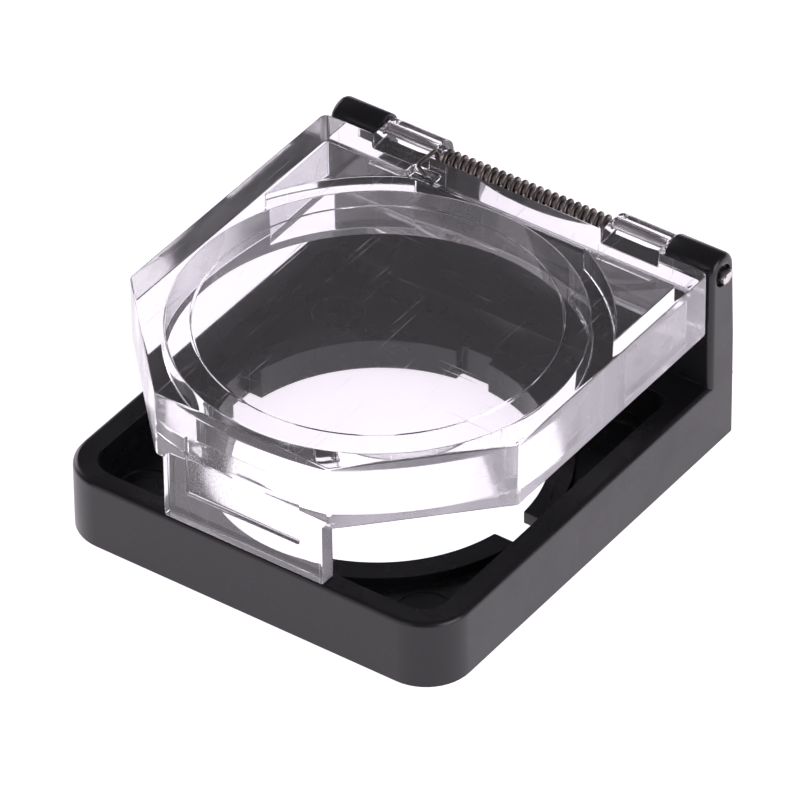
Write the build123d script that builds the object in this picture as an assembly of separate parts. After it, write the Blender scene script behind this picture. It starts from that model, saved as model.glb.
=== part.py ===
from build123d import *
import os
from math import acos, atan2, cos, degrees, hypot, radians, sin

# Hinged clear guard for a panel push button. Millimetres.
# X runs along the hinge, -Y is the front (finger tab), Z is up, Z = 0 is the panel face.

# ---- base tray ----
BASE_W = 31.0            # along X
BASE_D = 34.0            # along Y
RIM_Z = 5.3              # top of the tray rim
FRONT_R = 3.4            # outer radius of the two front corners
RIM_EDGE_R = 0.4         # rounding on the outer edge of the rim
TRAY_HALF_W = 13.8       # inner half width of the tray
TRAY_FRONT_Y = -15.5
TRAY_BACK_Y = 12.0
TRAY_FRONT_R = 1.9
TRAY_BACK_R = 1.0
FLOOR_Z = 2.6            # upper face of the tray floor
UNDER_Z = 1.0            # depth of the shallow recess in the underside
UNDER_WALL = 1.7         # foot left round that recess
OVERLAP = 0.2            # how far joined solids run into each other
PAST = 1.0               # how far a cutter runs past the surface it opens

# ---- button seat ----
HOLE_Y = -1.8            # centre of the button hole
HOLE_R = 11.3
SEAT_R = 13.0            # outer radius of the raised seat
SEAT_Z = 3.4
SEAT_LEDGE_Z = 2.4       # underside of the seat where the side notch opens
NOTCH_START = 9.8        # cutters for the notches start inside the hole
NOTCH_Y = (-4.3, -1.4)   # side notch, right
NOTCH_LOW_Y = (-4.3, 0.2)  # the same notch below the ledge
NOTCH_END_X = 13.0
LEFT_NOTCH_Y = (-2.6, 0.3)
LEFT_NOTCH_END_X = 12.1
BACK_NOTCH_X = (-1.6, 0.9)
BACK_NOTCH_END_Y = 10.1
MARK_R = 1.8             # shallow round marks on the tray floor
MARK_DEPTH = 0.12
MARK_X = 11.15
MARK_Y = (-12.5, 9.2)

# ---- back wall and hinge posts ----
POST_FRONT_Y = 14.3
POST_INNER_X = 11.6
POST_EDGE_R = 0.5
WALL_Z = 11.0            # top of the wall between the posts
AXIS_Y = 15.65
AXIS_Z = 13.9
KNUCKLE_R = 1.35
POST_TOP_Z = 15.5        # the posts stand a little higher than the lid
SINK_R = 0.8             # clearance ring round each pin end
SINK_DEPTH = 0.35

# ---- hinge pin ----
PIN_R = 0.55
PIN_X = (-15.45, 16.0)   # flush on the left, proud of the post on the right
PIN_CHAMFER = 0.12

# ---- clear lid ----
LID_HALF_W = 15.5
LID_FRONT_Y = -17.0
LID_BACK_Y = 13.9
LID_TOP_Z = 15.25
LID_LOW_Z = 10.2
LID_CORNER_X = 6.9       # inner end of each front corner cut
LID_CORNER_Y = -8.0      # back end of each front corner cut
LID_EDGE_R = 0.5         # rounding on the upright corners
CEILING_Z = 13.85        # underside of the top plate
CAVITY_R = 14.0          # round inner wall
WINDOW_R = 12.2          # thinner round window
WINDOW_DEPTH = 0.2
POCKET_R = 15.5          # outer face of the round wall, seen from the corner pockets
POCKET_HALF_W = 14.0
BAR_FRONT_Y = 12.2       # front face of the bar that carries the knuckles
BAR_EDGE_R = 0.5
CLEAR_KNUCKLE_X = (7.0, 11.45)
CLEAR_BORE_R = 0.58
WEB_LOW_Z = 12.55

# ---- finger tab ----
TAB_HALF_W = 6.35
TAB_BACK_Y = -15.75
TAB_LOW_Z = 5.35
TAB_PANEL_HALF_W = 4.5
TAB_PANEL_Z = (7.95, 12.7)
TAB_PANEL_DEPTH = 0.3
TAB_EDGE_R = 0.15

# ---- spring ----
WIRE_R = 0.14
COIL_R = 0.72            # mean radius
LEAD_PITCH = 0.38        # first turn, close to the left clear knuckle
COIL_END_X = 6.3
WHOLE_TURNS = 20
LEG_X = -6.83            # the front leg lies beside the left clear knuckle
LEG_TIP = (-6.0, 12.25, 14.95)
LEG_ELBOW = (LEG_X, 12.4, 15.46)
LEG_CREST = (LEG_X, 14.55, 15.38)
BEND_REACH = 0.3         # length of wire taken up by each bend, either side
RUN_STEP = 0.3           # spacing of the points along the straight wire
COIL_STEPS = 16          # points per turn
BACK_LEG_ANGLE = 180.0   # the back leg drops from the front of the coil
BACK_LEG_LOW_Z = 9.8
BACK_LEG_HOLE_R = 0.17
BACK_LEG_HOLE_Z = 9.7
SLOT_X = (-7.2, -5.0)    # slot in the top of the lid that holds the bent leg end
SLOT_Y = (11.4, 12.6)
SLOT_FLOOR_Z = 14.65


def box(x0, x1, y0, y1, z0, z1):
    return Pos((x0 + x1) / 2, (y0 + y1) / 2, (z0 + z1) / 2) * Box(x1 - x0, y1 - y0, z1 - z0)


def disc(x, y, radius, z0, z1):
    return Pos(x, y, (z0 + z1) / 2) * Cylinder(radius, z1 - z0)


def rod_x(radius, x0, x1):
    """A round bar on the hinge axis."""
    bar = Pos((x0 + x1) / 2, AXIS_Y, AXIS_Z) * Rot(0, 90, 0) * Cylinder(radius, x1 - x0)
    return bar


def rounded_block(x0, x1, y0, y1, z0, z1, front_r, back_r):
    """A block with two radii on its upright edges, front pair and back pair."""
    block = box(x0, x1, y0, y1, z0, z1)
    upright = block.edges().filter_by(Axis.Z)
    front = upright.sort_by(Axis.Y)[:2]
    block = fillet(front, front_r)
    if back_r > 0:
        back = block.edges().filter_by(Axis.Z).sort_by(Axis.Y)[-2:]
        block = fillet(back, back_r)
    return block


def make_tray():
    half_w = BASE_W / 2
    half_d = BASE_D / 2
    tray = rounded_block(-half_w, half_w, -half_d, half_d, 0, RIM_Z, FRONT_R, 0)
    rim_edge = tray.edges().group_by(Axis.Z)[-1].sort_by(Axis.Y)[:-1]
    tray = fillet(rim_edge, RIM_EDGE_R)
    tray -= rounded_block(-TRAY_HALF_W, TRAY_HALF_W, TRAY_FRONT_Y, TRAY_BACK_Y, FLOOR_Z, RIM_Z + PAST,
                          TRAY_FRONT_R, TRAY_BACK_R)
    tray += disc(0, HOLE_Y, SEAT_R, FLOOR_Z - OVERLAP, SEAT_Z)
    tray -= disc(0, HOLE_Y, HOLE_R, -PAST, SEAT_Z + PAST)
    for side in (-1, 1):
        for mark_y in MARK_Y:
            tray -= disc(side * MARK_X, mark_y, MARK_R, FLOOR_Z - MARK_DEPTH, FLOOR_Z + PAST)
    return tray


def cut_notches(tray):
    """Keyways round the button hole."""
    top = SEAT_Z + PAST
    tray -= box(NOTCH_START, NOTCH_END_X, NOTCH_Y[0], NOTCH_Y[1], -PAST, top)
    tray -= box(NOTCH_START, NOTCH_END_X, NOTCH_LOW_Y[0], NOTCH_LOW_Y[1], -PAST, SEAT_LEDGE_Z)
    tray -= box(-LEFT_NOTCH_END_X, -NOTCH_START, LEFT_NOTCH_Y[0], LEFT_NOTCH_Y[1], -PAST, top)
    tray -= box(BACK_NOTCH_X[0], BACK_NOTCH_X[1], NOTCH_START + HOLE_Y, BACK_NOTCH_END_Y, -PAST, top)
    return tray


def make_post(side):
    """One upright at a back corner, its top rounded over the pin."""
    half_w = BASE_W / 2
    half_d = BASE_D / 2
    if side > 0:
        x0, x1 = POST_INNER_X, half_w
    else:
        x0, x1 = -half_w, -POST_INNER_X
    crown_z = POST_TOP_Z - KNUCKLE_R
    post = box(x0, x1, POST_FRONT_Y, half_d, 0, crown_z)
    post += Pos(0, 0, crown_z - AXIS_Z) * rod_x(KNUCKLE_R, x0, x1)
    outer = post.faces().sort_by(Axis.X)
    outer_face = outer[-1] if side > 0 else outer[0]
    rounded = []
    for edge in outer_face.edges():
        middle = edge @ 0.5
        if middle.Z > RIM_Z and middle.Y < half_d - 0.05:
            rounded.append(edge)
    return fillet(rounded, POST_EDGE_R)


def make_base():
    half_w = BASE_W / 2
    half_d = BASE_D / 2
    base = cut_notches(make_tray())
    wall_end = POST_INNER_X + OVERLAP
    base += box(-wall_end, wall_end, POST_FRONT_Y, half_d, RIM_Z - OVERLAP, WALL_Z)
    for side in (-1, 1):
        base += make_post(side)
    base -= rounded_block(-half_w + UNDER_WALL, half_w - UNDER_WALL, -half_d + UNDER_WALL,
                          half_d - UNDER_WALL, -PAST, UNDER_Z, TRAY_FRONT_R, TRAY_BACK_R)
    base -= rod_x(PIN_R, -half_w - PAST, half_w + PAST)
    base -= rod_x(SINK_R, half_w - SINK_DEPTH, half_w + PAST)
    base -= rod_x(SINK_R, -half_w - PAST, -half_w + SINK_DEPTH)
    base -= disc(COIL_END_X, AXIS_Y - COIL_R, BACK_LEG_HOLE_R, BACK_LEG_HOLE_Z, WALL_Z + PAST)
    return base


def lid_outline(z0, z1):
    corners = [
        (-LID_HALF_W, LID_BACK_Y),
        (-LID_HALF_W, LID_CORNER_Y),
        (-LID_CORNER_X, LID_FRONT_Y),
        (LID_CORNER_X, LID_FRONT_Y),
        (LID_HALF_W, LID_CORNER_Y),
        (LID_HALF_W, LID_BACK_Y),
    ]
    face = make_face(Polyline(*corners, close=True))
    face = fillet(face.vertices(), LID_EDGE_R)
    return Pos(0, 0, z0) * extrude(face, z1 - z0)


def bar_edge():
    """What the rounding takes off the low back edge of the lid."""
    corner = box(-LID_HALF_W - PAST, LID_HALF_W + PAST, LID_BACK_Y - BAR_EDGE_R, LID_BACK_Y + PAST,
                 LID_LOW_Z - PAST, LID_LOW_Z + BAR_EDGE_R)
    bar = Pos(0, LID_BACK_Y - BAR_EDGE_R, LID_LOW_Z + BAR_EDGE_R) * Rot(0, 90, 0)
    return corner - bar * Cylinder(BAR_EDGE_R, 2 * LID_HALF_W + 4 * PAST)


def make_pockets():
    """The two open-bottomed pockets between the round wall and the back corners."""
    block = box(-POCKET_HALF_W, POCKET_HALF_W, 0, BAR_FRONT_Y, LID_LOW_Z - PAST, CEILING_Z)
    return block - disc(0, HOLE_Y, POCKET_R, LID_LOW_Z - 2 * PAST, CEILING_Z + PAST)


def make_tab():
    tab = box(-TAB_HALF_W, TAB_HALF_W, LID_FRONT_Y, TAB_BACK_Y, TAB_LOW_Z, LID_LOW_Z + OVERLAP)
    low_edges = tab.edges().group_by(Axis.Z)[0]
    return fillet(low_edges, TAB_EDGE_R)


def clear_knuckle(side):
    x0 = side * CLEAR_KNUCKLE_X[0]
    x1 = side * CLEAR_KNUCKLE_X[1]
    low, high = min(x0, x1), max(x0, x1)
    knuckle = rod_x(KNUCKLE_R, low, high)
    knuckle += box(low, high, LID_BACK_Y - OVERLAP, AXIS_Y, WEB_LOW_Z, AXIS_Z + KNUCKLE_R)
    return knuckle


def make_lid():
    lid = lid_outline(LID_LOW_Z, LID_TOP_Z)
    lid -= bar_edge()
    lid -= disc(0, HOLE_Y, CAVITY_R, LID_LOW_Z - PAST, CEILING_Z)
    lid -= disc(0, HOLE_Y, WINDOW_R, CEILING_Z - OVERLAP, CEILING_Z + WINDOW_DEPTH)
    lid -= make_pockets()
    lid += make_tab()
    lid -= box(-TAB_PANEL_HALF_W, TAB_PANEL_HALF_W, LID_FRONT_Y - PAST, LID_FRONT_Y + TAB_PANEL_DEPTH,
               TAB_PANEL_Z[0], TAB_PANEL_Z[1])
    for side in (-1, 1):
        lid += clear_knuckle(side)
    lid -= rod_x(CLEAR_BORE_R, -LID_HALF_W, LID_HALF_W)
    lid -= box(SLOT_X[0], SLOT_X[1], SLOT_Y[0], SLOT_Y[1], SLOT_FLOOR_Z, LID_TOP_Z + PAST)
    return lid


def make_pin():
    pin = rod_x(PIN_R, PIN_X[0], PIN_X[1])
    ends = pin.edges().filter_by(GeomType.CIRCLE)
    return chamfer(ends, PIN_CHAMFER)


def coil_point(x, angle):
    """A point on the coil; 0 degrees is towards +Y and 90 degrees is up."""
    turn = radians(angle)
    return Vector(x, AXIS_Y + COIL_R * cos(turn), AXIS_Z + COIL_R * sin(turn))


def coil_points(x0, x1, angle0, angle1):
    count = round(abs(angle1 - angle0) / 360 * COIL_STEPS)
    points = []
    for i in range(count):
        share = i / count
        points.append(coil_point(x0 + (x1 - x0) * share, angle0 + (angle1 - angle0) * share))
    return points


def run_points(start, end):
    """Points along a straight piece of wire, the end left out."""
    run = end - start
    count = max(1, round(run.length / RUN_STEP))
    return [start + run * (i / count) for i in range(count)]


def bend_points(before, corner, after):
    """Points round a bend in the wire."""
    start = corner + (before - corner).normalized() * BEND_REACH
    end = corner + (after - corner).normalized() * BEND_REACH
    points = []
    for i in range(5):
        share = i / 4
        points.append(start * (1 - share) ** 2 + corner * (2 * share * (1 - share)) + end * share ** 2)
    return points


def touch_angle(point):
    """Angle at which wire from a point above and in front meets the front of the coil."""
    rise = point.Z - AXIS_Z
    run = point.Y - AXIS_Y
    return degrees(atan2(rise, run)) + degrees(acos(COIL_R / hypot(rise, run)))


def wire_points():
    tip = Vector(*LEG_TIP)
    elbow = Vector(*LEG_ELBOW)
    crest = Vector(*LEG_CREST)
    first_angle = touch_angle(crest)
    touch = coil_point(LEG_X, first_angle)
    at_elbow = bend_points(tip, elbow, crest)
    at_crest = bend_points(elbow, crest, touch)
    points = run_points(tip, at_elbow[0]) + at_elbow[:-1]
    points += run_points(at_elbow[-1], at_crest[0]) + at_crest[:-1]
    points += run_points(at_crest[-1], touch)
    lead_x = LEG_X + LEAD_PITCH
    last_angle = BACK_LEG_ANGLE + 360 * (WHOLE_TURNS + 2)
    points += coil_points(LEG_X, lead_x, first_angle, first_angle + 360)
    points += coil_points(lead_x, COIL_END_X, first_angle + 360, last_angle)
    leg_top = coil_point(COIL_END_X, BACK_LEG_ANGLE)
    leg_low = Vector(leg_top.X, leg_top.Y, BACK_LEG_LOW_Z)
    return points + run_points(leg_top, leg_low) + [leg_low]


def make_spring():
    path = Spline(*reversed(wire_points()))
    section = Plane(origin=path @ 0, z_dir=path % 0) * Circle(WIRE_R)
    return sweep(section, path=path)


os.makedirs("parts", exist_ok=True)
nodes = {
    "base": make_base(),
    "lid": make_lid(),
    "hinge_pin": make_pin(),
    "torsion_spring": make_spring(),
}
for name, shape in nodes.items():
    shape.label = name
    export_step(shape, "parts/" + name + ".step")
    size = shape.bounding_box()
    print(name, "valid", shape.is_valid, "solids", len(shape.solids()), "volume", round(shape.volume, 2), size)
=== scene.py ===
"""Looks for the hinged clear guard of a panel push button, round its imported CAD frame."""
import math
import random

import bmesh
import bpy
from mathutils import Matrix, Vector


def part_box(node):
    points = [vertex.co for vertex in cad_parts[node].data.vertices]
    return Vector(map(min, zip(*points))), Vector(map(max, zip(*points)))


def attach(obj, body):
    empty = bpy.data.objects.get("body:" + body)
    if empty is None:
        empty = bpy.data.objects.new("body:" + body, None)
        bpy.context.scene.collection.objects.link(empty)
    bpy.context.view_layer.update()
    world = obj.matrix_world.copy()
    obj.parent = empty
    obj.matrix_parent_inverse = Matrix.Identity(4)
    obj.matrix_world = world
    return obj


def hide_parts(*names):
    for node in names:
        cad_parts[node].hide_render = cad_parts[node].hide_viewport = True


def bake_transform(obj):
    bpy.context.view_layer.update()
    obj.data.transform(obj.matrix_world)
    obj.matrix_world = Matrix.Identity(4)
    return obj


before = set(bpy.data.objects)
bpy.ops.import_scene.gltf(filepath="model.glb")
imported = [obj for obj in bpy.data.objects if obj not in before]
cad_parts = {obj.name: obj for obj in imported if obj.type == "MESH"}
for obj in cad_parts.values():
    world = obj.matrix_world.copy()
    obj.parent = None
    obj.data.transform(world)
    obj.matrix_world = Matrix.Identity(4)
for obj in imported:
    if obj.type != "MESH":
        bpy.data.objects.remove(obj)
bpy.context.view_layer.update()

# Pieces are built in millimetres and turned into metres as they are finished.
MM = 0.001
base_low, base_high = [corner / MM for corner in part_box("base")]
lid_low, lid_high = [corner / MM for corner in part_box("lid")]
pin_low, pin_high = [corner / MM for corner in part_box("hinge_pin")]
AXIS_Y = (pin_low.y + pin_high.y) / 2
AXIS_Z = (pin_low.z + pin_high.z) / 2
KNUCKLE_R = 1.35

# Cutters run PAST the surface they open, and joined solids run into each other by OVERLAP.
PAST = 1.0
OVERLAP = 0.2
# Two coordinates count as the same within NEAR, and booleans' loose vertices are joined within MERGE.
NEAR = 0.01
MERGE = 0.004
BREAK_ANGLE = 28

# ---- base, mm ----
RIM_Z = 5.3
FRONT_R = 3.4
RIM_EDGE_R = 0.4
TRAY_HALF_W = 13.8
TRAY_FRONT_Y = -15.5
TRAY_BACK_Y = 12.0
TRAY_FRONT_R = 1.9
TRAY_BACK_R = 1.0
FLOOR_Z = 2.6
UNDER_Z = 1.0
UNDER_WALL = 1.7
HOLE_Y = -1.8
HOLE_R = 11.3
SEAT_R = 13.0
SEAT_Z = 3.4
SEAT_FOOT_Z = 2.3
SEAT_LEDGE_Z = 2.4
NOTCH_START = 9.8
NOTCH_Y = (-4.3, -1.4)
NOTCH_LOW_Y = (-4.28, 0.2)
NOTCH_END_X = 13.0
NOTCH_LOW_END_X = 12.98
LEFT_NOTCH_Y = (-2.6, 0.3)
LEFT_NOTCH_END_X = 12.1
BACK_NOTCH_X = (-1.6, 0.9)
BACK_NOTCH_END_Y = 10.1
MARK_R = 1.8
MARK_DEPTH = 0.12
MARK_CUTTER_TOP_Z = 2.9
MARK_X = 11.15
MARK_Y = (-12.5, 9.2)
POST_FRONT_Y = 14.3
POST_INNER_X = 11.6
POST_FOOT_Z = 4.0
POST_EDGE_R = 0.45
WALL_FOOT_Z = 4.1
WALL_Z = 11.0
SINK_R = 0.8
SINK_DEPTH = 0.35
LEG_HOLE_R = 0.17
LEG_HOLE_Z = 9.7
BASE_BREAK_R = 0.09

# ---- lid, mm ----
LID_LOW_Z = 10.2
LID_BACK_Y = 13.9
LID_CORNER_X = 6.9
LID_CORNER_Y = -8.0
LID_EDGE_R = 0.5
CEILING_Z = 13.85
CAVITY_R = 14.0
WINDOW_R = 12.2
WINDOW_DEPTH = 0.2
WINDOW_CUTTER_DROP = 0.5
POCKET_R = 15.5
POCKET_HALF_W = 14.0
BAR_FRONT_Y = 12.2
BAR_EDGE_R = 0.5
CLEAR_KNUCKLE_X = (7.0, 11.45)
CLEAR_BORE_R = 0.58
KNUCKLE_ROOT_Y = 13.5
WEB_LOW_Z = 12.55
WEB_STEP = 0.1
TAB_HALF_W = 6.35
TAB_BACK_Y = -15.75
TAB_TOP_Z = 10.7
TAB_PANEL_HALF_W = 4.5
TAB_PANEL_Z = (7.95, 12.7)
TAB_PANEL_DEPTH = 0.3
SLOT_X = (-7.2, -5.0)
SLOT_Y = (11.4, 12.6)
SLOT_FLOOR_Z = 14.65
LID_BREAK_R = 0.14

# ---- spring, mm ----
WIRE_R = 0.14
WIRE_SIDES = 14
COIL_R = 0.72
COIL_STEPS = 28
LEAD_PITCH = 0.38
COIL_END_X = 6.3
WHOLE_TURNS = 20
LEG_X = -6.83
LEG_TIP = (-6.0, 12.25, 14.95)
LEG_ELBOW = (LEG_X, 12.4, 15.45)
LEG_CREST = (LEG_X, 14.55, 15.38)
BEND_REACH = 0.34
BACK_LEG_ANGLE = 180.0
BACK_LEG_LOW_Z = 9.8

# ---- camera ----
CAMERA_AZIMUTH = 35.57
CAMERA_ELEVATION = 38.36
CAMERA_ROLL = -0.56
CAMERA_DISTANCE = 621.1
CAMERA_ASIDE = 0.322
CAMERA_UP = 5.25
LENS = 421.5
SENSOR = 36.0

# ---- studio, very slightly lavender ----
TINT = (1.0, 0.94, 1.02)
WORLD_STRENGTH = 0.15
FLOOR_HALF_M = 3.0
FLOOR_Z_M = -0.00002
FLOOR_GLOW = 1.0
# name, azimuth, elevation, distance in metres, size in metres, watts
LIGHTS = (
    ("key", 85, 20, 0.5, 0.35, 1.2),
    ("fill", -15, 18, 0.6, 0.4, 0.4),
    ("left", -105, 16, 0.5, 0.35, 1.1),
)


# ---------------------------------------------------------------- solids

def link(name, bm):
    mesh = bpy.data.meshes.new(name)
    bmesh.ops.recalc_face_normals(bm, faces=bm.faces)
    bm.to_mesh(mesh)
    bm.free()
    obj = bpy.data.objects.new(name, mesh)
    bpy.context.scene.collection.objects.link(obj)
    return obj


def extrude(outline, low, high, axis="Z"):
    """A prism on an outline of (x, y) points along Z, or of (y, z) points along X."""
    bm = bmesh.new()
    rings = []
    for level in (low, high):
        if axis == "Z":
            corners = [(a, b, level) for a, b in outline]
        else:
            corners = [(level, a, b) for a, b in outline]
        rings.append([bm.verts.new(corner) for corner in corners])
    bm.faces.new(rings[0])
    bm.faces.new(rings[1])
    count = len(outline)
    for i in range(count):
        j = (i + 1) % count
        bm.faces.new((rings[0][i], rings[0][j], rings[1][j], rings[1][i]))
    return link("solid", bm)


def arc(x, y, radius, start, stop, steps):
    points = []
    for i in range(steps + 1):
        turn = math.radians(start + (stop - start) * i / steps)
        points.append((x + radius * math.cos(turn), y + radius * math.sin(turn)))
    return points


def rounded_outline(corners, radius, steps=6):
    """The outline with each of its outward corners swapped for an arc."""
    points = []
    for i, corner in enumerate(corners):
        here = Vector(corner)
        back = (Vector(corners[i - 1]) - here).normalized()
        ahead = (Vector(corners[(i + 1) % len(corners)]) - here).normalized()
        half = back.angle(ahead) / 2
        middle = here + (back + ahead).normalized() * (radius / math.sin(half))
        first = here + back * (radius / math.tan(half)) - middle
        last = here + ahead * (radius / math.tan(half)) - middle
        for k in range(steps + 1):
            points.append(tuple(middle + first.slerp(last, k / steps).normalized() * radius))
    return points


def circle(x, y, radius, steps):
    return arc(x, y, radius, 0, 360, steps)[:-1]


def box(x0, x1, y0, y1, z0, z1):
    return extrude([(x0, y0), (x1, y0), (x1, y1), (x0, y1)], z0, z1)


def disc(x, y, radius, z0, z1, steps=192):
    return extrude(circle(x, y, radius, steps), z0, z1)


def rod(radius, x0, x1, steps=48):
    return extrude(circle(AXIS_Y, AXIS_Z, radius, steps), x0, x1, "X")


def rounded_block(x0, x1, y0, y1, z0, z1, front_r, back_r):
    outline = arc(x1 - front_r, y0 + front_r, front_r, -90, 0, 12)
    if back_r:
        outline += arc(x1 - back_r, y1 - back_r, back_r, 0, 90, 6)
        outline += arc(x0 + back_r, y1 - back_r, back_r, 90, 180, 6)
    else:
        outline += [(x1, y1), (x0, y1)]
    outline += arc(x0 + front_r, y0 + front_r, front_r, 180, 270, 12)
    return extrude(outline, z0, z1)


def bake_modifiers(obj):
    shown = obj.evaluated_get(bpy.context.evaluated_depsgraph_get())
    mesh = bpy.data.meshes.new_from_object(shown)
    obj.modifiers.clear()
    obj.data = mesh


def combine(target, operation, *tools):
    """Adds the tools to the target, or cuts them out of it."""
    for tool in tools:
        step = target.modifiers.new("step", "BOOLEAN")
        step.operation = operation
        step.solver = "EXACT"
        step.object = tool
    bake_modifiers(target)
    for tool in tools:
        bpy.data.objects.remove(tool)


def join(target, *tools):
    combine(target, "UNION", *tools)


def cut(target, *tools):
    combine(target, "DIFFERENCE", *tools)


def round_edges(obj, radius, chosen):
    """Rounds the edges of a solid that chosen(a, b) picks by their two ends."""
    bm = bmesh.new()
    bm.from_mesh(obj.data)
    edges = [e for e in bm.edges if chosen(e.verts[0].co, e.verts[1].co)]
    bmesh.ops.bevel(bm, geom=edges, offset=radius, offset_type="OFFSET", segments=4,
                    profile=0.5, affect="EDGES", clamp_overlap=False)
    bm.to_mesh(obj.data)
    bm.free()


def merge_close(obj):
    """Joins the nearly equal vertices that booleans leave."""
    bm = bmesh.new()
    bm.from_mesh(obj.data)
    bmesh.ops.remove_doubles(bm, verts=bm.verts, dist=MERGE)
    bm.to_mesh(obj.data)
    bm.free()


def soften(obj, radius, low, high):
    """Breaks every sharp edge by a small radius, as a mould does, and keeps the result in its box."""
    merge_close(obj)
    step = obj.modifiers.new("edge", "BEVEL")
    step.width = radius
    step.segments = 2
    step.limit_method = "ANGLE"
    step.angle_limit = math.radians(BREAK_ANGLE)
    step.use_clamp_overlap = False
    step.miter_outer = "MITER_ARC"
    bake_modifiers(obj)
    for vertex in obj.data.vertices:
        for i in range(3):
            vertex.co[i] = min(max(vertex.co[i], low[i]), high[i])


def finish_piece(obj, name, body, material, nodes, sharp=40):
    """Turns a finished solid into metres, shades it, and hands it to the frame."""
    obj.data.transform(Matrix.Scale(MM, 4))
    obj.name = name
    obj.data.name = name
    for face in obj.data.polygons:
        face.use_smooth = True
    obj.data.set_sharp_from_angle(angle=math.radians(sharp))
    even = obj.modifiers.new("even", "WEIGHTED_NORMAL")
    even.keep_sharp = True
    bake_modifiers(obj)
    obj.data.materials.clear()
    obj.data.materials.append(material)
    if body:
        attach(obj, body)
    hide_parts(*nodes)
    return obj


# ---------------------------------------------------------------- base

def make_tray():
    tray = rounded_block(base_low.x, base_high.x, base_low.y, base_high.y, 0, RIM_Z, FRONT_R, 0)
    back = base_high.y - NEAR

    def on_rim(a, b):
        return min(a.z, b.z) > RIM_Z - NEAR and min(a.y, b.y) < back

    round_edges(tray, RIM_EDGE_R, on_rim)
    pocket = rounded_block(-TRAY_HALF_W, TRAY_HALF_W, TRAY_FRONT_Y, TRAY_BACK_Y, FLOOR_Z, RIM_Z + PAST,
                           TRAY_FRONT_R, TRAY_BACK_R)
    cut(tray, pocket)
    return tray


def make_post(side):
    profile = [(POST_FRONT_Y, POST_FOOT_Z), (base_high.y, POST_FOOT_Z)]
    profile += arc(AXIS_Y, base_high.z - KNUCKLE_R, KNUCKLE_R, 0, 180, 32)
    ends = sorted((side * POST_INNER_X, side * base_high.x))
    post = extrude(profile, ends[0], ends[1], "X")
    outer = side * base_high.x

    def on_outer_edge(a, b):
        outside = abs(a.x - outer) < NEAR and abs(b.x - outer) < NEAR
        return outside and (min(a.z, b.z) > AXIS_Z - NEAR or max(a.y, b.y) < POST_FRONT_Y + NEAR)

    round_edges(post, POST_EDGE_R, on_outer_edge)
    return post


def make_base(material):
    base = make_tray()
    wall_end = POST_INNER_X + OVERLAP
    wall = box(-wall_end, wall_end, POST_FRONT_Y, base_high.y, WALL_FOOT_Z, WALL_Z)
    join(base, wall, make_post(-1), make_post(1))
    recess = rounded_block(base_low.x + UNDER_WALL, base_high.x - UNDER_WALL, base_low.y + UNDER_WALL,
                           base_high.y - UNDER_WALL, -PAST, UNDER_Z, TRAY_FRONT_R, TRAY_BACK_R)
    join(base, disc(0, HOLE_Y, SEAT_R, SEAT_FOOT_Z, SEAT_Z))
    over = SEAT_Z + PAST
    cut(base, recess, disc(0, HOLE_Y, HOLE_R, -PAST, over))
    cut(
        base,
        box(NOTCH_START, NOTCH_END_X, *NOTCH_Y, -PAST, over),
        box(NOTCH_START, NOTCH_LOW_END_X, *NOTCH_LOW_Y, -PAST, SEAT_LEDGE_Z),
        box(-LEFT_NOTCH_END_X, -NOTCH_START, *LEFT_NOTCH_Y, -PAST, over),
        box(*BACK_NOTCH_X, NOTCH_START + HOLE_Y, BACK_NOTCH_END_Y, -PAST, over),
    )
    marks = []
    for side in (-1, 1):
        for mark_y in MARK_Y:
            marks.append(disc(side * MARK_X, mark_y, MARK_R, FLOOR_Z - MARK_DEPTH, MARK_CUTTER_TOP_Z, 64))
    cut(base, *marks)
    outside = base_high.x
    cut(
        base,
        rod(pin_high.z - AXIS_Z, -outside - PAST, outside + PAST),
        rod(SINK_R, outside - SINK_DEPTH, outside + PAST),
        rod(SINK_R, -outside - PAST, -outside + SINK_DEPTH),
        disc(COIL_END_X, AXIS_Y - COIL_R, LEG_HOLE_R, LEG_HOLE_Z, WALL_Z + PAST, 24),
    )
    soften(base, BASE_BREAK_R, base_low, base_high)
    return finish_piece(base, "moulded_base", "base_body", material, ["base"])


# ---------------------------------------------------------------- lid

def make_shell():
    """The lid's outline and rounded back edge, with its round cavity, window and two back pockets."""
    outline = [
        (lid_low.x, LID_BACK_Y),
        (lid_low.x, LID_CORNER_Y),
        (-LID_CORNER_X, lid_low.y),
        (LID_CORNER_X, lid_low.y),
        (lid_high.x, LID_CORNER_Y),
        (lid_high.x, LID_BACK_Y),
    ]
    shell = extrude(rounded_outline(outline, LID_EDGE_R), LID_LOW_Z, lid_high.z)
    y = LID_BACK_Y - BAR_EDGE_R
    z = LID_LOW_Z + BAR_EDGE_R
    under = LID_LOW_Z - PAST
    off_edge = [(LID_BACK_Y + PAST, z), (LID_BACK_Y + PAST, under), (y, under)]
    off_edge += arc(y, z, BAR_EDGE_R, -90, 0, 8)
    cut(shell, extrude(off_edge, lid_low.x - PAST, lid_high.x + PAST, "X"))
    cut(shell, disc(0, HOLE_Y, CAVITY_R, under, CEILING_Z))
    cut(shell, disc(0, HOLE_Y, WINDOW_R, CEILING_Z - WINDOW_CUTTER_DROP, CEILING_Z + WINDOW_DEPTH))
    pockets = box(-POCKET_HALF_W, POCKET_HALF_W, 0, BAR_FRONT_Y, under, CEILING_Z)
    cut(pockets, disc(0, HOLE_Y, POCKET_R, under - PAST, CEILING_Z + PAST))
    cut(shell, pockets)
    return shell


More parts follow.
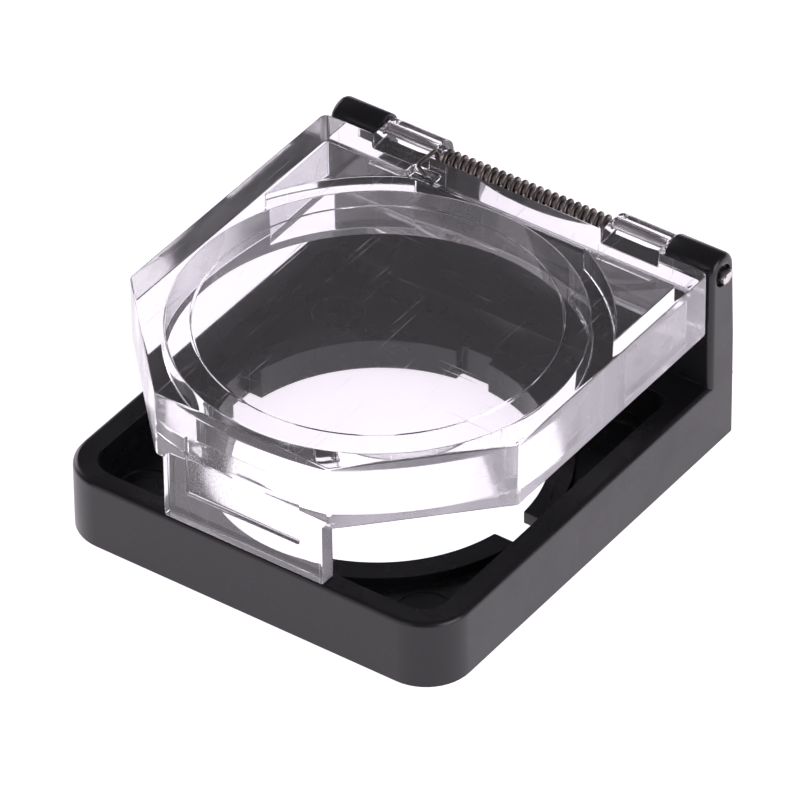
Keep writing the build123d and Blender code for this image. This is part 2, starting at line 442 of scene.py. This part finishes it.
def make_clear_knuckle(side):
    profile = [(KNUCKLE_ROOT_Y, WEB_LOW_Z), (AXIS_Y - WEB_STEP, WEB_LOW_Z)]
    profile += arc(AXIS_Y, AXIS_Z, KNUCKLE_R, -90, 90, 32)
    profile += [(KNUCKLE_ROOT_Y, AXIS_Z + KNUCKLE_R)]
    ends = sorted((side * CLEAR_KNUCKLE_X[0], side * CLEAR_KNUCKLE_X[1]))
    return extrude(profile, ends[0], ends[1], "X")


def make_lid(clear, frosted, satin):
    lid = make_shell()
    tab = box(-TAB_HALF_W, TAB_HALF_W, lid_low.y, TAB_BACK_Y, lid_low.z, TAB_TOP_Z)
    join(lid, tab, make_clear_knuckle(-1), make_clear_knuckle(1))
    panel_floor_y = lid_low.y + TAB_PANEL_DEPTH
    bore_start = CLEAR_KNUCKLE_X[0] - PAST
    bore_end = CLEAR_KNUCKLE_X[1] + PAST
    cut(
        lid,
        box(-TAB_PANEL_HALF_W, TAB_PANEL_HALF_W, lid_low.y - PAST, panel_floor_y, *TAB_PANEL_Z),
        rod(CLEAR_BORE_R, -bore_end, -bore_start),
        rod(CLEAR_BORE_R, bore_start, bore_end),
        box(*SLOT_X, *SLOT_Y, SLOT_FLOOR_Z, lid_high.z + PAST),
    )
    soften(lid, LID_BREAK_R, lid_low, lid_high)
    finish_piece(lid, "clear_lid", "lid_body", clear, ["lid"])
    lid.data.materials.append(frosted)
    lid.data.materials.append(satin)
    for face in lid.data.polygons:
        centre = face.center / MM
        on_floor = abs(centre.y - panel_floor_y) < NEAR
        if on_floor and abs(face.normal.y) > 0.99 and centre.z > TAB_PANEL_Z[0]:
            face.material_index = 1
        elif is_outer_side(centre, face.normal):
            face.material_index = 2
    return lid


def is_outer_side(centre, normal):
    """The upright outside faces, which the mould leaves less bright than the top."""
    if abs(normal.z) > 0.3:
        return False
    on_side = abs(centre.x) > lid_high.x - 0.2
    on_corner = centre.y < LID_CORNER_Y and centre.x * normal.x > 0 and abs(centre.x) > LID_CORNER_X
    on_tab = abs(centre.x) > TAB_HALF_W - 0.05 and centre.y < TAB_BACK_Y + 0.1 and abs(normal.x) > 0.5
    outward = centre.x * normal.x + centre.y * normal.y > 0
    return outward and (on_side or (on_corner and normal.y < -0.3) or on_tab)


# ---------------------------------------------------------------- pin and spring

def make_pin(material):
    """Drawn wire cut to length: one end sheared and burred, the other rounded and flush."""
    radius = pin_high.z - AXIS_Z
    rng = random.Random(4)
    bm = bmesh.new()
    steps = 40
    stations = [
        (pin_low.x, 0.72), (pin_low.x + 0.05, 0.92), (pin_low.x + 0.12, 1.0),
        (0.0, 1.0), (pin_high.x - 0.14, 1.0), (pin_high.x - 0.05, 0.97), (pin_high.x, 0.9),
    ]
    rings = []
    for x, share in stations:
        ring = []
        for i in range(steps):
            turn = 2 * math.pi * i / steps
            y = AXIS_Y + radius * share * math.cos(turn)
            z = AXIS_Z + radius * share * math.sin(turn)
            slant = 0.0
            if x > 0 and share < 1:
                slant = -0.09 * (1 - math.sin(turn)) - rng.uniform(0, 0.02)
            ring.append(bm.verts.new((x + slant, y, z)))
        rings.append(ring)
    for a, b in zip(rings, rings[1:]):
        for i in range(steps):
            j = (i + 1) % steps
            bm.faces.new((a[i], a[j], b[j], b[i]))
    bm.faces.new(rings[0])
    bm.faces.new(rings[-1])
    pin = link("solid", bm)
    return finish_piece(pin, "steel_hinge_pin", "base_body", material, ["hinge_pin"])


def coil_point(x, angle):
    turn = math.radians(angle)
    return Vector((x, AXIS_Y + COIL_R * math.cos(turn), AXIS_Z + COIL_R * math.sin(turn)))


def coil_points(x0, x1, angle0, angle1):
    count = round(abs(angle1 - angle0) / 360 * COIL_STEPS)
    points = []
    for i in range(count):
        share = i / count
        points.append(coil_point(x0 + (x1 - x0) * share, angle0 + (angle1 - angle0) * share))
    return points


def bend_points(before, corner, after):
    start = corner + (before - corner).normalized() * BEND_REACH
    end = corner + (after - corner).normalized() * BEND_REACH
    points = []
    for i in range(9):
        share = i / 8
        points.append(start * (1 - share) ** 2 + corner * (2 * share * (1 - share)) + end * share ** 2)
    return points


def wire_points():
    tip = Vector(LEG_TIP)
    elbow = Vector(LEG_ELBOW)
    crest = Vector(LEG_CREST)
    rise = crest.z - AXIS_Z
    run = crest.y - AXIS_Y
    first = math.degrees(math.atan2(rise, run)) + math.degrees(math.acos(COIL_R / math.hypot(rise, run)))
    touch = coil_point(LEG_X, first)
    points = [tip] + bend_points(tip, elbow, crest) + bend_points(elbow, crest, touch)
    lead_x = LEG_X + LEAD_PITCH
    last = BACK_LEG_ANGLE + 360 * (WHOLE_TURNS + 2)
    points += coil_points(LEG_X, lead_x, first, first + 360)
    points += coil_points(lead_x, COIL_END_X, first + 360, last)
    leg_top = coil_point(COIL_END_X, BACK_LEG_ANGLE)
    return points + [leg_top, Vector((leg_top.x, leg_top.y, BACK_LEG_LOW_Z))]


def make_spring(material):
    """A tube along the wire's path, its rings carried along without twisting."""
    points = wire_points()
    bm = bmesh.new()
    rings = []
    across = Vector((0, 0, 1))
    for i, point in enumerate(points):
        ahead = points[min(i + 1, len(points) - 1)] - points[max(i - 1, 0)]
        ahead.normalize()
        across = (across - ahead * across.dot(ahead)).normalized()
        beside = ahead.cross(across)
        ring = []
        for k in range(WIRE_SIDES):
            turn = 2 * math.pi * k / WIRE_SIDES
            ring.append(bm.verts.new(point + (across * math.cos(turn) + beside * math.sin(turn)) * WIRE_R))
        rings.append(ring)
    for a, b in zip(rings, rings[1:]):
        for k in range(WIRE_SIDES):
            n = (k + 1) % WIRE_SIDES
            bm.faces.new((a[k], a[n], b[n], b[k]))
    bm.faces.new(rings[0])
    bm.faces.new(rings[-1])
    spring = link("solid", bm)
    finish_piece(spring, "closing_spring", None, material, ["torsion_spring"], sharp=60)
    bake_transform(spring)
    return spring


# ---------------------------------------------------------------- materials

class Shader:
    """A material with one Principled shader and short calls for the nodes that feed it."""

    def __init__(self, name):
        self.material = bpy.data.materials.new(name)
        self.material.use_nodes = True
        self.tree = self.material.node_tree
        self.main = self.tree.nodes["Principled BSDF"]
        self.place = self.add("ShaderNodeTexCoord").outputs["Object"]

    def add(self, kind, **settings):
        node = self.tree.nodes.new(kind)
        for name, value in settings.items():
            setattr(node, name, value)
        return node

    def link(self, source, target):
        self.tree.links.new(source, target)

    def stretch(self, scale, turn=(0, 0, 0)):
        node = self.add("ShaderNodeMapping")
        self.link(self.place, node.inputs["Vector"])
        node.inputs["Scale"].default_value = scale
        node.inputs["Rotation"].default_value = turn
        return node.outputs["Vector"]

    def noise(self, scale, detail, where=None):
        node = self.add("ShaderNodeTexNoise")
        self.link(where or self.place, node.inputs["Vector"])
        node.inputs["Scale"].default_value = scale
        node.inputs["Detail"].default_value = detail
        return node.outputs["Fac"]

    def specks(self, scale):
        node = self.add("ShaderNodeTexVoronoi")
        self.link(self.place, node.inputs["Vector"])
        node.inputs["Scale"].default_value = scale
        return node.outputs["Distance"]

    def ramp(self, value, low, high, out_low=0.0, out_high=1.0):
        node = self.add("ShaderNodeMapRange", interpolation_type="SMOOTHSTEP")
        self.link(value, node.inputs["Value"])
        node.inputs["From Min"].default_value = low
        node.inputs["From Max"].default_value = high
        node.inputs["To Min"].default_value = out_low
        node.inputs["To Max"].default_value = out_high
        return node.outputs["Result"]

    def math(self, operation, a, b):
        node = self.add("ShaderNodeMath", operation=operation)
        for socket, value in zip(node.inputs, (a, b)):
            if isinstance(value, (int, float)):
                socket.default_value = value
            else:
                self.link(value, socket)
        return node.outputs[0]

    def colours(self, share, first, second):
        node = self.add("ShaderNodeMix", data_type="RGBA")
        self.link(share, node.inputs["Factor"])
        ends = [socket for socket in node.inputs if socket.type == "RGBA"]
        ends[0].default_value = (*first, 1)
        ends[1].default_value = (*second, 1)
        return [socket for socket in node.outputs if socket.type == "RGBA"][0]

    def few_specks(self, scale, radius, patches):
        """Small specks, kept only where a coarse noise is high."""
        near = self.ramp(self.specks(scale), radius, radius * 0.5)
        return self.math("MULTIPLY", near, self.ramp(self.noise(patches, 2), 0.54, 0.6))

    def bump(self, height, strength, distance):
        node = self.add("ShaderNodeBump")
        node.inputs["Strength"].default_value = strength
        node.inputs["Distance"].default_value = distance
        self.link(height, node.inputs["Height"])
        self.link(node.outputs["Normal"], self.main.inputs["Normal"])

    def feed(self, name, source):
        self.link(source, self.main.inputs[name])

    def fix(self, **values):
        for name, value in values.items():
            self.main.inputs[name.replace("_", " ")].default_value = value


def black_plastic():
    s = Shader("black_plastic")
    grain = s.noise(2600, 2)
    cloud = s.noise(260, 4)
    scratch = s.ramp(s.noise(60, 6, s.stretch((1, 14, 3), (0.2, 0.1, 0.7))), 0.66, 0.74)
    dust = s.few_specks(1500, 0.1, 330)
    worn = s.math("MAXIMUM", s.math("MULTIPLY", scratch, 0.4), s.math("MULTIPLY", dust, 0.5))
    s.feed("Base Color", s.colours(worn, (0.010, 0.0095, 0.011), (0.05, 0.048, 0.052)))
    s.feed("Roughness", s.math("ADD", s.ramp(cloud, 0.3, 0.7, 0.22, 0.34), s.math("MULTIPLY", worn, 0.2)))
    s.bump(grain, 0.12, 0.00002)
    s.fix(IOR=1.52, Specular_IOR_Level=0.4)
    return s.material


def clear_plastic():
    s = Shader("clear_plastic")
    lines = s.noise(130, 3, s.stretch((1, 45, 1), (0, 0, 0.5)))
    crossed = s.noise(110, 3, s.stretch((40, 1, 1), (0, 0, -0.35)))
    scratch = s.ramp(s.math("MAXIMUM", lines, crossed), 0.68, 0.74)
    dust = s.few_specks(2600, 0.12, 400)
    worn = s.math("MAXIMUM", s.math("MULTIPLY", scratch, 0.6), s.math("MULTIPLY", dust, 0.5))
    s.feed("Roughness", s.math("ADD", s.ramp(s.noise(180, 4), 0.35, 0.75, 0.015, 0.05),
                               s.math("MULTIPLY", worn, 0.35)))
    s.feed("Transmission Weight", s.math("SUBTRACT", 0.965, s.math("MULTIPLY", worn, 0.35)))
    s.bump(s.noise(120, 3), 0.05, 0.00003)
    s.fix(IOR=1.5, Base_Color=(0.985, 0.98, 0.995, 1))
    return s.material


def frosted_plastic():
    s = Shader("frosted_plastic")
    grain = s.noise(7000, 4)
    s.feed("Roughness", s.ramp(grain, 0.3, 0.7, 0.1, 0.3))
    s.bump(grain, 0.3, 0.00002)
    s.fix(IOR=1.5, Base_Color=(0.98, 0.975, 0.99, 1), Transmission_Weight=1.0)
    return s.material


def satin_plastic():
    s = Shader("satin_plastic")
    cloud = s.noise(240, 4)
    grain = s.noise(1800, 3)
    s.feed("Roughness", s.ramp(cloud, 0.3, 0.7, 0.08, 0.2))
    s.feed("Transmission Weight", s.ramp(cloud, 0.3, 0.7, 0.82, 0.7))
    s.bump(grain, 0.15, 0.00002)
    s.fix(IOR=1.5, Base_Color=(0.96, 0.95, 0.99, 1))
    return s.material


def pin_steel():
    s = Shader("pin_steel")
    drawn = s.noise(300, 5, s.stretch((1, 12, 12)))
    stain = s.noise(700, 4)
    s.feed("Base Color", s.colours(s.ramp(stain, 0.45, 0.75), (0.62, 0.59, 0.57), (0.42, 0.37, 0.34)))
    s.feed("Roughness", s.ramp(drawn, 0.3, 0.7, 0.18, 0.38))
    s.bump(drawn, 0.2, 0.00001)
    s.fix(Metallic=1.0)
    return s.material


def spring_steel():
    s = Shader("spring_steel")
    stain = s.noise(900, 4)
    s.feed("Base Color", s.colours(s.ramp(stain, 0.35, 0.7), (0.24, 0.205, 0.19), (0.12, 0.1, 0.092)))
    s.feed("Roughness", s.ramp(stain, 0.3, 0.7, 0.3, 0.5))
    s.bump(stain, 0.15, 0.00001)
    s.fix(Metallic=1.0)
    return s.material


# ---------------------------------------------------------------- surroundings

def make_floor():
    bm = bmesh.new()
    corners = []
    for x, y in ((-1, -1), (1, -1), (1, 1), (-1, 1)):
        corners.append(bm.verts.new((x * FLOOR_HALF_M, y * FLOOR_HALF_M, FLOOR_Z_M)))
    bm.faces.new(corners)
    floor = link("floor", bm)
    s = Shader("pale_floor")
    s.fix(Base_Color=(0.8, 0.8, 0.8, 1), Roughness=0.9)
    s.fix(Emission_Color=(*TINT, 1), Emission_Strength=FLOOR_GLOW)
    floor.data.materials.append(s.material)


def area_light(name, azimuth, elevation, distance, size, watts):
    light = bpy.data.lights.new(name, "AREA")
    light.size = size
    light.energy = watts
    light.color = TINT
    obj = bpy.data.objects.new(name, light)
    a, e = math.radians(azimuth), math.radians(elevation)
    back = Vector((math.sin(a) * math.cos(e), -math.cos(a) * math.cos(e), math.sin(e)))
    obj.location = back * distance
    obj.rotation_mode = "QUATERNION"
    obj.rotation_quaternion = back.to_track_quat("Z", "Y")
    bpy.context.scene.collection.objects.link(obj)


def make_light():
    world = bpy.data.worlds.new("studio")
    bpy.context.scene.world = world
    world.use_nodes = True
    background = world.node_tree.nodes["Background"]
    background.inputs["Color"].default_value = (*TINT, 1)
    background.inputs["Strength"].default_value = WORLD_STRENGTH
    for light in LIGHTS:
        area_light(*light)
    bpy.context.scene.view_settings.view_transform = "Standard"


def make_camera():
    """A long lens; it stands off its aim line by CAMERA_ASIDE and CAMERA_UP, with no shift."""
    a, e, r = [math.radians(v) for v in (CAMERA_AZIMUTH, CAMERA_ELEVATION, CAMERA_ROLL)]
    back = Vector((math.sin(a) * math.cos(e), -math.cos(a) * math.cos(e), math.sin(e)))
    level = (-back).cross(Vector((0, 0, 1))).normalized()
    upright = level.cross(-back)
    right = level * math.cos(r) + upright * math.sin(r)
    up = upright * math.cos(r) - level * math.sin(r)
    place = (right * CAMERA_ASIDE + up * CAMERA_UP + back * CAMERA_DISTANCE) * MM
    data = bpy.data.cameras.new("camera")
    data.lens = LENS
    data.sensor_width = SENSOR
    data.clip_start = 0.01
    data.clip_end = 20.0
    camera = bpy.data.objects.new("camera", data)
    turn = Matrix((right, up, back)).transposed()
    camera.matrix_world = Matrix.Translation(place) @ turn.to_4x4()
    bpy.context.scene.collection.objects.link(camera)
    bpy.context.scene.camera = camera


make_base(black_plastic())
make_lid(clear_plastic(), frosted_plastic(), satin_plastic())
make_pin(pin_steel())
make_spring(spring_steel())
make_floor()
make_light()
make_camera()
